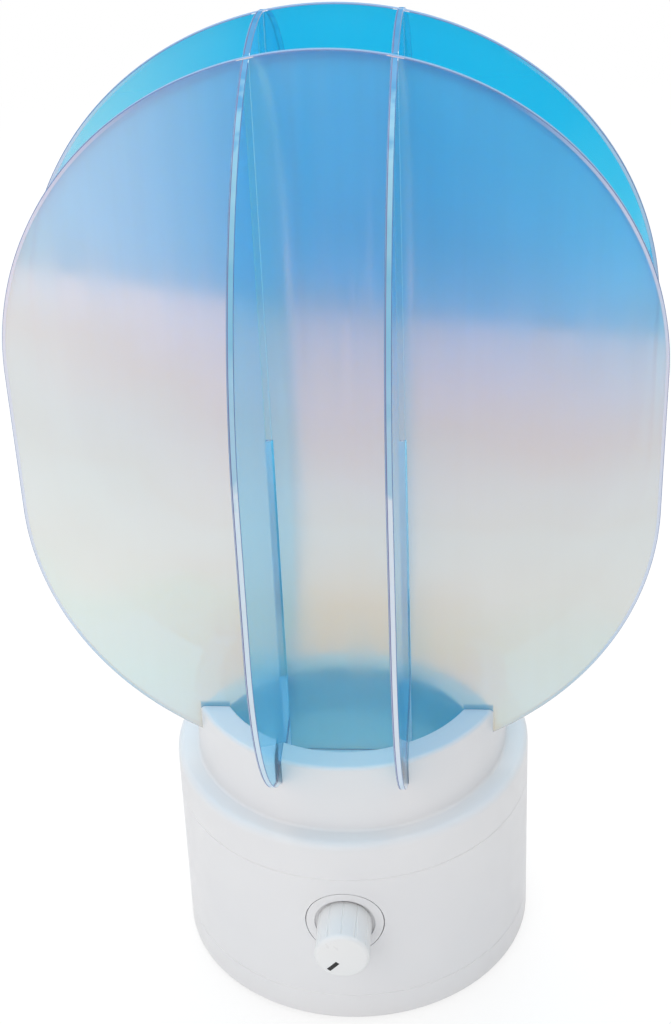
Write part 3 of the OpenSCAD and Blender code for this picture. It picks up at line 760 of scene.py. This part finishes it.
@dataclass
class Shade:
    """Four film panels that interlock crosswise."""

    outline: Outline = Outline()
    thickness: float = PANEL_HIGH.x - PANEL_LOW.x
    tongue_z: float = PANEL_LOW.z
    tongue_half: float = 0.03836
    shoulder_rise: float = 0.0084
    lap_rise: float = 0.1205
    slot_fit: float = 0.00015
    corner: float = 0.00018
    steps: int = 256

    def build(self) -> dict[str, bpy.types.Object]:
        """Models the four panels.

        Returns:
            Front, rear, left and right panel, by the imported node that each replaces.
        """
        half = PANEL_PITCH / 2
        front = self.panel("front_sheet", Cut.FOOT)
        front.location = (0.0, -half, 0.0)
        settle(front)
        rear = twin(front, "rear_sheet", Vector((0.0, PANEL_PITCH, 0.0)))
        left = self.panel("left_sheet", Cut.TOP)
        left.rotation_euler = (0.0, 0.0, math.pi / 2)
        left.location = (-half, 0.0, 0.0)
        settle(left)
        right = twin(left, "right_sheet", Vector((PANEL_PITCH, 0.0, 0.0)))
        return {"front_panel": front, "rear_panel": rear, "left_panel": left, "right_panel": right}

    def panel(self, name: str, cut: Cut) -> bpy.types.Object:
        """Models one panel across the lamp's axis.

        Args:
            name: Name of the piece.
            cut: Where its half laps open.

        Returns:
            The panel, with its faces still bare.
        """
        middle = self.outline.upper
        piece = drum(self.outline.radius, self.thickness, self.steps, middle, math.pi / self.steps)
        label(piece, name)
        with EditMesh(piece) as mesh:
            for point in mesh.verts:
                point.select = point.co.z < middle
            mesh.select_flush_mode()
            bpy.ops.transform.translate(value=(0.0, 0.0, -self.outline.side))
        for cutter in self.cutters(cut):
            join(piece, cutter, "DIFFERENCE")
        self.ease(piece)
        smooth(piece)
        return piece

    def cutters(self, cut: Cut) -> list[bpy.types.Object]:
        """Boxes that cut a panel's foot, its seat shoulders and its half laps.

        Args:
            cut: Where the half laps open.

        Returns:
            The boxes.
        """
        reach = self.outline.width
        deep = self.thickness
        half = self.thickness / 2 + self.slot_fit
        lap_z = self.tongue_z + self.lap_rise
        low, high = (0.0, lap_z + self.slot_fit)
        if cut is Cut.TOP:
            low, high = (lap_z - self.slot_fit, self.outline.top + reach)
        boxes = [block((-reach, -deep, 0.0), (reach, deep, self.tongue_z))]
        for sign in (-1, 1):
            ends = sorted((sign * self.tongue_half, sign * reach))
            boxes.append(block((ends[0], -deep, 0.0), (ends[1], deep, self.tongue_z + self.shoulder_rise)))
            centre = sign * PANEL_PITCH / 2
            boxes.append(block((centre - half, -deep, low), (centre + half, deep, high)))
        return boxes

    def ease(self, piece: bpy.types.Object) -> None:
        """Takes a hair off the sharp corners all round the outline.

        Args:
            piece: The panel.
        """
        with EditMesh(piece) as mesh:
            for edge in mesh.edges:
                flats = sum(abs(face.normal.y) > ALONG for face in edge.link_faces)
                edge.select = flats == 1 and len(edge.link_faces) == 2
            bpy.ops.mesh.bevel(offset=self.corner, segments=1, affect="EDGES")

    def part_of(self, face: bpy.types.MeshPolygon, axis: int) -> Skin:
        """Tells which part of a panel's surface a face belongs to.

        Args:
            face: The face.
            axis: Direction across the sheet.

        Returns:
            The part.
        """
        across = face.normal[axis]
        coated = across < 0
        if abs(across) > ALONG:
            return Skin.FILM if coated else Skin.BARE
        in_lap = abs(abs(face.center[1 - axis]) - PANEL_PITCH / 2) < self.thickness
        if abs(across) < ACROSS:
            lap_side = in_lap and abs(face.normal.z) < UPRIGHT
            return Skin.BARE if lap_side else Skin.EDGE
        if in_lap:
            return Skin.FILM if coated else Skin.LAP_CORNER
        return Skin.CORNER

    def dress(self, panel: bpy.types.Object, node: str, finishes: Sequence[bpy.types.Material]) -> None:
        """Gives the faces, corners and edges of a panel their finishes.

        Args:
            panel: The panel.
            node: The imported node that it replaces.
            finishes: Materials in the order of the parts of its surface.
        """
        axis = 1 if node in ("front_panel", "rear_panel") else 0
        for finish in finishes:
            panel.data.materials.append(finish)
        for face in panel.data.polygons:
            face.material_index = self.part_of(face, axis).value
        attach(panel, Body.BASE.value)
        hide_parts(node)
        LOG.info("built %s with %d faces", panel.name, len(panel.data.polygons))


@dataclass
class Pointer:
    """Dark bar let into the knob's domed face, turned to the off position."""

    axis_z: float = KNOB_TURN["pos_m"][2]
    off_angle: float = (360.0 - KNOB_TURN["range_deg"][1]) / 2
    face_y: float = KNOB_FACE
    dome_radius: float = 0.04053
    near: float = 0.0021
    far: float = 0.007
    wide: float = 0.00145
    deep: float = 0.0015
    proud: float = 0.000044
    corner: float = 0.0003
    corner_steps: int = 4
    dome_length: float = 0.0116
    dome_steps: int = 512

    def build(self, finish: bpy.types.Material) -> None:
        """Models the pointer.

        Args:
            finish: Its material.
        """
        half = self.wide / 2
        piece = block((self.near, -half, -self.deep), (self.far, half, self.deep))
        label(piece, "pointer_bar")
        with EditMesh(piece) as mesh:
            for edge in mesh.edges:
                first, last = (point.co for point in edge.verts)
                edge.select = abs(first.z - last.z) > self.deep
            bpy.ops.mesh.bevel(offset=self.corner, segments=self.corner_steps, affect="EDGES")
        dome = drum(self.dome_radius + self.proud, self.dome_length, self.dome_steps, -self.dome_radius)
        join(piece, dome, "INTERSECT")
        down = math.radians(self.off_angle)
        outward = Vector((-math.sin(down), 0.0, -math.cos(down)))
        front = Vector((0.0, -1.0, 0.0))
        turn = Matrix((outward, front.cross(outward), front)).transposed().to_4x4()
        piece.matrix_world = Matrix.Translation((0.0, self.face_y, self.axis_z)) @ turn
        settle(piece)
        smooth(piece)
        piece.data.materials.append(finish)
        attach(piece, Body.KNOB.value)
        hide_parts("knob_pointer")
        LOG.info("built %s with %d faces", piece.name, len(piece.data.polygons))


@dataclass
class Floor:
    """Plain white floor with the lamp's shadow, whose bent front edge shows in the panels, which mirror
    painted shade on it.
    """

    back: float = 4.0
    side: float = 4.0
    bend: Span = (-0.05, -0.535)
    left_slope: float = 0.337
    right_slope: float = 0.17
    # Painted shade where the panels mirror the floor: darker to the right, ahead of the lamp and towards its
    # front edge
    front_span: Span = (-0.12, 0.0)
    across_span: Span = (-0.2, 0.1)
    across_greys: tuple[Span, ...] = ((0.0, 0.92), (0.6, 0.78), (1.0, 0.77))
    ahead_span: Span = (-0.4, -0.24)
    ahead_grey: float = 0.8
    far_line: Place = (-0.23, 1.0, 0.0)
    far_span: Span = (-0.545, -0.245)
    far_greys: tuple[Span, ...] = (
        (0.0, 0.62), (0.045, 0.7), (0.09, 0.75), (0.17, 0.8), (0.25, 0.87), (0.41, 1.0))
    right_span: Span = (-0.16, -0.06)
    # Painted shadow of the lamp, yellowish, in front of its foot where the panels mirror the floor
    shadow_place: Place = (-0.015, -0.19, 0.0)
    shadow_span: Span = (0.025, 0.075)
    shadow_colour: Colour = (0.74, 0.64, 0.47)
    grey: float = 0.8
    lift: float = 0.78
    afar_span: Span = (0.45, 0.9)
    clouds: float = 5.0
    cloud_span: Span = (0.985, 1.0)

    def tone(self, graph: Graph, mirrored: Socket) -> Socket:
        """Gives the floor's tone: white to the eye; where panels mirror it, painted shade ahead of the lamp
        and a painted shadow in front of its foot.

        Args:
            graph: The floor's material.
            mirrored: 1 where the floor is seen in a panel.

        Returns:
            Socket with the colour.
        """
        place = graph.axes(graph.place())
        # Painted shade on the mirrored floor: darker to the right, ahead of the lamp and near its front edge
        front = graph.greys(graph.remap(place["X"], self.across_span), self.across_greys)
        front = graph.tint(front, graph.remap(place["Y"], self.ahead_span, self.ahead_grey))
        depth = graph.measure("DOT_PRODUCT", graph.place(), self.far_line)
        dimmer = graph.greys(graph.remap(depth, self.far_span), self.far_greys)
        front = graph.tint(front, graph.mix(graph.remap(place["X"], self.right_span), even(1.0), dimmer))
        # Painted shadow of the lamp in front of its foot
        offset = graph.measure("DISTANCE", graph.place(), self.shadow_place)
        front = graph.mix(graph.remap(offset, self.shadow_span), opaque(self.shadow_colour), front)
        tone = graph.mix(graph.remap(place["Y"], self.front_span), front, even(1.0))
        return graph.mix(mirrored, even(1.0), tone)

    def material(self) -> bpy.types.Material:
        """Makes the floor's material.

        Returns:
            The material.
        """
        graph = Graph.named("floor_white")
        path = graph.node("LightPath").outputs
        seen = graph.math("MAXIMUM", path["Is Camera Ray"], path["Is Glossy Ray"])
        seen = graph.math("MAXIMUM", seen, path["Is Transmission Ray"])
        afar = graph.remap(graph.measure("LENGTH", graph.place()), self.afar_span)
        afar = graph.math("MULTIPLY", afar, path["Is Camera Ray"])
        tone = self.tone(graph, path["Is Glossy Ray"])
        grey = graph.mix(seen, even(self.grey), even(1.0 - self.lift))
        grey = graph.mix(afar, grey, even(0.0))
        clouds = graph.spread(graph.noise(self.clouds), *self.cloud_span)
        near_lift = graph.math("MULTIPLY", seen, self.lift)
        far_lift = graph.math("MULTIPLY", afar, 1.0 - self.lift)
        matt = graph.shader("BsdfDiffuse", {"Color": graph.tint(graph.tint(tone, grey), clouds)})
        glow = graph.shader("Emission", {"Color": tone, "Strength": graph.math("ADD", near_lift, far_lift)})
        return graph.finish(graph.add(matt, glow))

    def build(self) -> None:
        """Lays the floor."""
        size = 1.0
        bpy.ops.object.select_all(action="DESELECT")
        bpy.ops.mesh.primitive_plane_add(size=size)
        piece = bpy.context.object
        piece.name = "floor"
        with EditMesh(piece) as mesh:
            for edge in mesh.edges:
                if all(point.co.y < 0 for point in edge.verts):
                    edge.select = True
            bpy.ops.mesh.subdivide(number_cuts=1)
        bend_x, bend_y = self.bend
        with EditMesh(piece) as mesh:
            for point in mesh.verts:
                if abs(point.co.x) < size / 4:
                    point.co = (bend_x, bend_y, 0.0)
                    continue
                side = math.copysign(self.side, point.co.x)
                slope = self.left_slope if side < 0 else self.right_slope
                front = bend_y + slope * (side - bend_x)
                point.co = (side, self.back if point.co.y > 0 else front, 0.0)
        piece.data.materials.append(self.material())


@dataclass
class Room:
    """Surroundings: white to the eye, even light on the lamp, and dim where the panels mirror them."""

    dim_span: Span = (-0.3, 0.1)
    dim_greys: tuple[Span, ...] = (
        (0.0, 0.5), (0.3, 0.3), (0.4, 0.1), (0.48, 0.015), (0.8, 0.01), (1.0, 0.02))
    steep_span: Span = (-0.41, -0.45)
    steep_grey: float = 0.12
    lean: Place = (0.0, 1.0, 0.8)
    lean_span: Span = (-0.15, 0.45)
    lean_colour: Colour = (0.85, 0.86, 0.88)
    behind_span: Span = (0.7, 0.97)
    behind_greys: Span = (0.66, 1.05)

    def build(self) -> None:
        """Makes the world."""
        world = bpy.data.worlds.new("room")
        bpy.context.scene.world = world
        graph = Graph(world)
        path = graph.node("LightPath").outputs
        way = graph.node("TexCoord").outputs["Generated"]
        parts = graph.axes(way)
        dim = graph.greys(graph.remap(parts["X"], self.dim_span), self.dim_greys)
        steep = graph.remap(parts["Z"], self.steep_span, 0.0, self.steep_grey)
        rise = graph.remap(graph.measure("DOT_PRODUCT", way, self.lean), self.lean_span)
        mirrored = graph.mix(rise, graph.mix(1.0, dim, steep, "ADD"), opaque(self.lean_colour))
        light = graph.remap(parts["Y"], self.behind_span, *self.behind_greys)
        lit = graph.mix(path["Is Glossy Ray"], light, mirrored)
        seen = graph.mix(path["Is Camera Ray"], lit, even(1.0))
        graph.finish(graph.shader("Background", {"Color": seen}))


@dataclass(frozen=True)
class SoftLight:
    """Square soft light that faces the lamp, with its power in watts."""

    name: str
    place: Place
    power: float
    size: float = 1.2
    aim: Place = (0.0, 0.0, 0.1)

    def build(self) -> None:
        """Hangs the light."""
        light = bpy.data.lights.new(self.name, "AREA")
        light.shape = "SQUARE"
        light.size = self.size
        light.energy = self.power
        piece = bpy.data.objects.new(self.name, light)
        bpy.context.scene.collection.objects.link(piece)
        piece.location = self.place
        piece.rotation_euler = (Vector(self.aim) - Vector(self.place)).to_track_quat("-Z", "Y").to_euler()


@dataclass
class Camera:
    """Camera at the photograph's place, aim and field of view, with its angles in degrees."""

    place: Place = (0.0450, -0.53541, 0.50274)
    pitch: float = 31.884
    yaw: float = 5.102
    roll: float = -2.399
    focal_pixels: float = 1940.0
    frame_height: float = 1024.0
    sensor: float = 36.0

    def build(self) -> None:
        """Sets up the camera."""
        pitch, yaw, roll = (math.radians(angle) for angle in (self.pitch, self.yaw, self.roll))
        ahead = Vector((-math.sin(yaw) * math.cos(pitch), math.cos(yaw) * math.cos(pitch), -math.sin(pitch)))
        level = Vector((math.cos(yaw), math.sin(yaw), 0.0))
        upright = level.cross(ahead)
        right = math.cos(roll) * level + math.sin(roll) * upright
        above = -math.sin(roll) * level + math.cos(roll) * upright
        lens = bpy.data.cameras.new("camera")
        lens.sensor_fit = "VERTICAL"
        lens.sensor_height = self.sensor
        lens.lens = self.focal_pixels / self.frame_height * self.sensor
        piece = bpy.data.objects.new("camera", lens)
        bpy.context.scene.collection.objects.link(piece)
        turn = Matrix((right, above, -ahead)).transposed().to_4x4()
        piece.matrix_world = Matrix.Translation(self.place) @ turn
        bpy.context.scene.camera = piece


@dataclass
class Studio:
    """Camera, floor, surroundings and soft lights of the picture."""

    back_light: SoftLight = SoftLight("back_light", (-0.1, 0.45, 1.45), 14.0)
    front_light: SoftLight = SoftLight("front_light", (-0.38, -1.5, 1.0), 9.0)
    see_through_bounces: int = 32

    def build(self) -> None:
        """Sets up the whole stage."""
        bpy.context.scene.view_settings.view_transform = "Standard"
        bpy.context.scene.cycles.transparent_max_bounces = self.see_through_bounces
        for part in (Camera(), Floor(), Room(), self.back_light, self.front_light):
            part.build()


FILM = ColourFilm(
    "colour_film",
    through=(
        (0.0, (0.02, 0.56, 0.84)),
        (0.06, (0.02, 0.56, 0.85)),
        (0.1, (0.08, 0.61, 0.9)),
        (0.12, (0.1, 0.47, 0.65)),
        (0.135, (0.1, 0.3, 0.4)),
        (0.16, (0.07, 0.15, 0.18)),
        (0.178, (0.05, 0.13, 0.16)),
        (0.19, (0.03, 0.25, 0.36)),
        (0.2, (0.06, 0.34, 0.47)),
        (0.215, (0.06, 0.35, 0.48)),
        (0.235, (0.1, 0.32, 0.44)),
        (0.3, (0.32, 0.52, 0.6)),
        (0.45, (0.45, 0.7, 0.8)),
        (0.65, (0.3, 0.72, 0.96)),
        (1.0, (0.5, 0.76, 0.97)),
    ),
    mirrored=(
        (0.0, (0.92, 0.38, 0.03)),
        (0.06, (0.92, 0.38, 0.03)),
        (0.1, (0.92, 0.4, 0.08)),
        (0.12, (0.92, 0.52, 0.3)),
        (0.135, (0.91, 0.66, 0.5)),
        (0.15, (0.9, 0.8, 0.72)),
        (0.165, (0.88, 0.85, 0.8)),
        (0.178, (0.86, 0.81, 0.74)),
        (0.19, (0.81, 0.71, 0.53)),
        (0.2, (0.78, 0.63, 0.44)),
        (0.215, (0.75, 0.62, 0.43)),
        (0.235, (0.7, 0.6, 0.48)),
        (0.3, (0.6, 0.52, 0.4)),
        (0.45, (0.35, 0.34, 0.26)),
        (0.65, (0.14, 0.14, 0.1)),
        (1.0, (0.05, 0.05, 0.03)),
    ),
    glow=(1.0, 0.92, 1.0),
    # Painted edge light, bluer at the foot and paler towards the top
    edge_light=(
        (0.05, (0.14, 0.47, 0.66)),
        (0.12, (0.3, 0.58, 0.78)),
        (0.25, (0.6, 0.7, 0.88)),
        (0.6, (0.72, 0.74, 0.88)),
        (1.0, (0.86, 0.78, 0.92)),
    ),
    behind=0.2,
)
FIN_FILM = replace(FILM, name="fin_film", along="Y", behind=0.5, edge_light_share=0.0, grazing_haze=0.25,
                   glow=(0.6, 1.1, 1.2))
# The rear panel's copy of the film: darker and less mirroring seen straight on, which is painted shade,
# paler towards its left end, and mirroring more from behind
REAR_FILM = replace(FILM, name="rear_film", haze=0.2, bloom=0.04, behind=0.8, pale=0.4, mirrored=(
    (0.0, (0.5, 0.3, 0.03)),
    (0.06, (0.5, 0.3, 0.03)),
    (0.1, (0.6, 0.36, 0.08)),
    *FILM.mirrored[3:],
), through=(
    (0.0, (0.01, 0.4, 0.84)),
    (0.06, (0.006, 0.4, 0.83)),
    (0.112, (0.05, 0.5, 0.83)),
    (0.135, (0.1, 0.45, 0.66)),
    (0.16, (0.06, 0.18, 0.26)),
    (0.19, (0.03, 0.08, 0.11)),
    (0.235, (0.06, 0.14, 0.17)),
    (0.3, (0.32, 0.52, 0.6)),
    (0.45, (0.45, 0.7, 0.8)),
    (0.65, (0.3, 0.72, 0.96)),
    (1.0, (0.5, 0.76, 0.97)),
))
CLEAR = ClearFace("clear_face")
# Fin edges: the film's tint with painted light and painted highlights that change with height
FIN_EDGE = SheetEdge("fin_edge", body=(
    (0.0, (0.95, 0.92, 0.93)),
    (0.61, (0.95, 0.92, 0.93)),
    (0.63, (0.55, 0.72, 0.82)),
    (0.7, (0.55, 0.72, 0.82)),
    (0.78, (0.3, 0.59, 0.75)),
    (0.83, (0.29, 0.61, 0.77)),
    (0.9, (0.44, 0.71, 0.83)),
    (0.94, (0.3, 0.62, 0.79)),
    (0.96, (0.08, 0.38, 0.67)),
    (1.0, (0.14, 0.42, 0.7)),
), across="X", gloss=(0.02, 0.02, 0.022))
# Rim edges: the film's tint with painted light that changes with height
RIM_EDGE = SheetEdge("rim_edge", body=(
    (0.0, (0.16, 0.55, 0.66)),
    (0.2, (0.16, 0.55, 0.66)),
    (0.4, (0.28, 0.55, 0.7)),
    (1.0, (0.3, 0.48, 0.7)),
), across="Y")
LINE = Moulding("sheet_corner", (0.12, 0.21, 0.42), (0.15, 0.23, 0.44), roughness=0.2, clouds=90.0)
SEAM = Moulding("lap_corner", (0.74, 0.92, 0.98), (0.68, 0.87, 0.95), roughness=0.2, clouds=90.0)
WHITE = Moulding("white_moulding", (0.79, 0.785, 0.795), (0.765, 0.76, 0.775))
KNOB = Moulding("knob_moulding", (0.82, 0.82, 0.82), (0.79, 0.79, 0.795), roughness=0.35)
INK = Moulding("pointer_ink", (0.012, 0.012, 0.013), (0.02, 0.02, 0.021), roughness=0.5)
RUBBER = Moulding("foot_rubber", (0.05, 0.05, 0.05), (0.035, 0.035, 0.036), roughness=0.75,
                  grain_depth=0.00003)
OPAL = Moulding("opal_sheet", (0.86, 0.86, 0.84), (0.83, 0.83, 0.81), roughness=0.3)
BLACK = Moulding("black_moulding", (0.025, 0.025, 0.026), (0.035, 0.035, 0.036), roughness=0.4)
IVORY = Moulding("plug_ivory", (0.8, 0.76, 0.64), (0.76, 0.72, 0.6))
MASK = Moulding("board_mask", (0.03, 0.2, 0.09), (0.025, 0.16, 0.075), roughness=0.3)
SLEEVE = Moulding("capacitor_sleeve", (0.035, 0.045, 0.14), (0.03, 0.035, 0.11), roughness=0.25)
WAFER = Moulding("wafer_laminate", (0.36, 0.19, 0.08), (0.3, 0.15, 0.06), roughness=0.6)
PHOSPHOR = Moulding("led_phosphor", (0.85, 0.68, 0.14), (0.8, 0.6, 0.1), roughness=0.3)
LEAD_RED = Moulding("lead_red", (0.5, 0.03, 0.025), (0.42, 0.025, 0.02))
LEAD_YELLOW = Moulding("lead_yellow", (0.7, 0.46, 0.05), (0.62, 0.4, 0.04))
LEAD_BLACK = Moulding("lead_black", (0.02, 0.02, 0.02), (0.03, 0.03, 0.03))
ZINC = Metal("zinc_plate", (0.62, 0.62, 0.62), (0.54, 0.55, 0.56))
PLATE = Metal("steel_plate", (0.5, 0.51, 0.52), (0.42, 0.43, 0.45), roughness=0.38)
ALUMINIUM = Metal("board_aluminium", (0.82, 0.82, 0.81), (0.76, 0.76, 0.76), roughness=0.4)

# Finishes of each panel: film, bare face, cut edge, corner and lap corner
PANEL_FINISHES: dict[str, tuple[Finish, ...]] = {
    "front_panel": (FILM, CLEAR, RIM_EDGE, LINE, SEAM),
    "rear_panel": (REAR_FILM, CLEAR, RIM_EDGE, LINE, SEAM),
    "left_panel": (FIN_FILM, CLEAR, FIN_EDGE, LINE, SEAM),
    "right_panel": (FIN_FILM, CLEAR, FIN_EDGE, LINE, SEAM),
}


@dataclass
class Fittings:
    """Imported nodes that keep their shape, sorted by the finish that they get."""

    def groups(self) -> dict[Finish, tuple[str, ...]]:
        """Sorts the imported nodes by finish.

        Returns:
            Names of the nodes that get each finish.
        """
        return {
            WHITE: ("bottom_cover", "base_shell", "top_cover", "dial_bezel"),
            KNOB: ("knob",),
            RUBBER: ("rubber_feet",),
            OPAL: ("diffuser",),
            BLACK: ("driver_inductor", "driver_chips", "pot_switch", "pot_rotor", "power_inlet"),
            IVORY: ("board_connectors",),
            MASK: ("driver_board",),
            SLEEVE: ("driver_capacitor",),
            WAFER: ("pot_wafer",),
            PHOSPHOR: ("led_chips",),
            LEAD_RED: ("led_leads",),
            LEAD_YELLOW: ("dimmer_leads",),
            LEAD_BLACK: ("inlet_leads",),
            ZINC: ("bottom_screws", "cover_screws", "led_screws", "board_screws", "pot_washer", "pot_nut",
                   "pot_terminals", "inlet_pin", "inlet_nut", "inlet_tabs"),
            PLATE: ("ballast_plate", "pot_bushing", "pot_case"),
            ALUMINIUM: ("led_board", "pot_shaft"),
        }

    def dress(self) -> None:
        """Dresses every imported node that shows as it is."""
        for finish, nodes in self.groups().items():
            material = finish.material()
            for node in nodes:
                dress(node, material)


def main() -> None:
    """Builds the lamp and its stage."""
    logging.basicConfig(level=logging.INFO, format="%(name)s: %(message)s")
    Studio().build()
    Fittings().dress()
    shade = Shade()
    used = dict.fromkeys(finish for finishes in PANEL_FINISHES.values() for finish in finishes)
    materials = {finish: finish.material() for finish in used}
    for node, panel in shade.build().items():
        shade.dress(panel, node, [materials[finish] for finish in PANEL_FINISHES[node]])
    Pointer().build(INK.material())


if __name__ == "__main__":
    main()
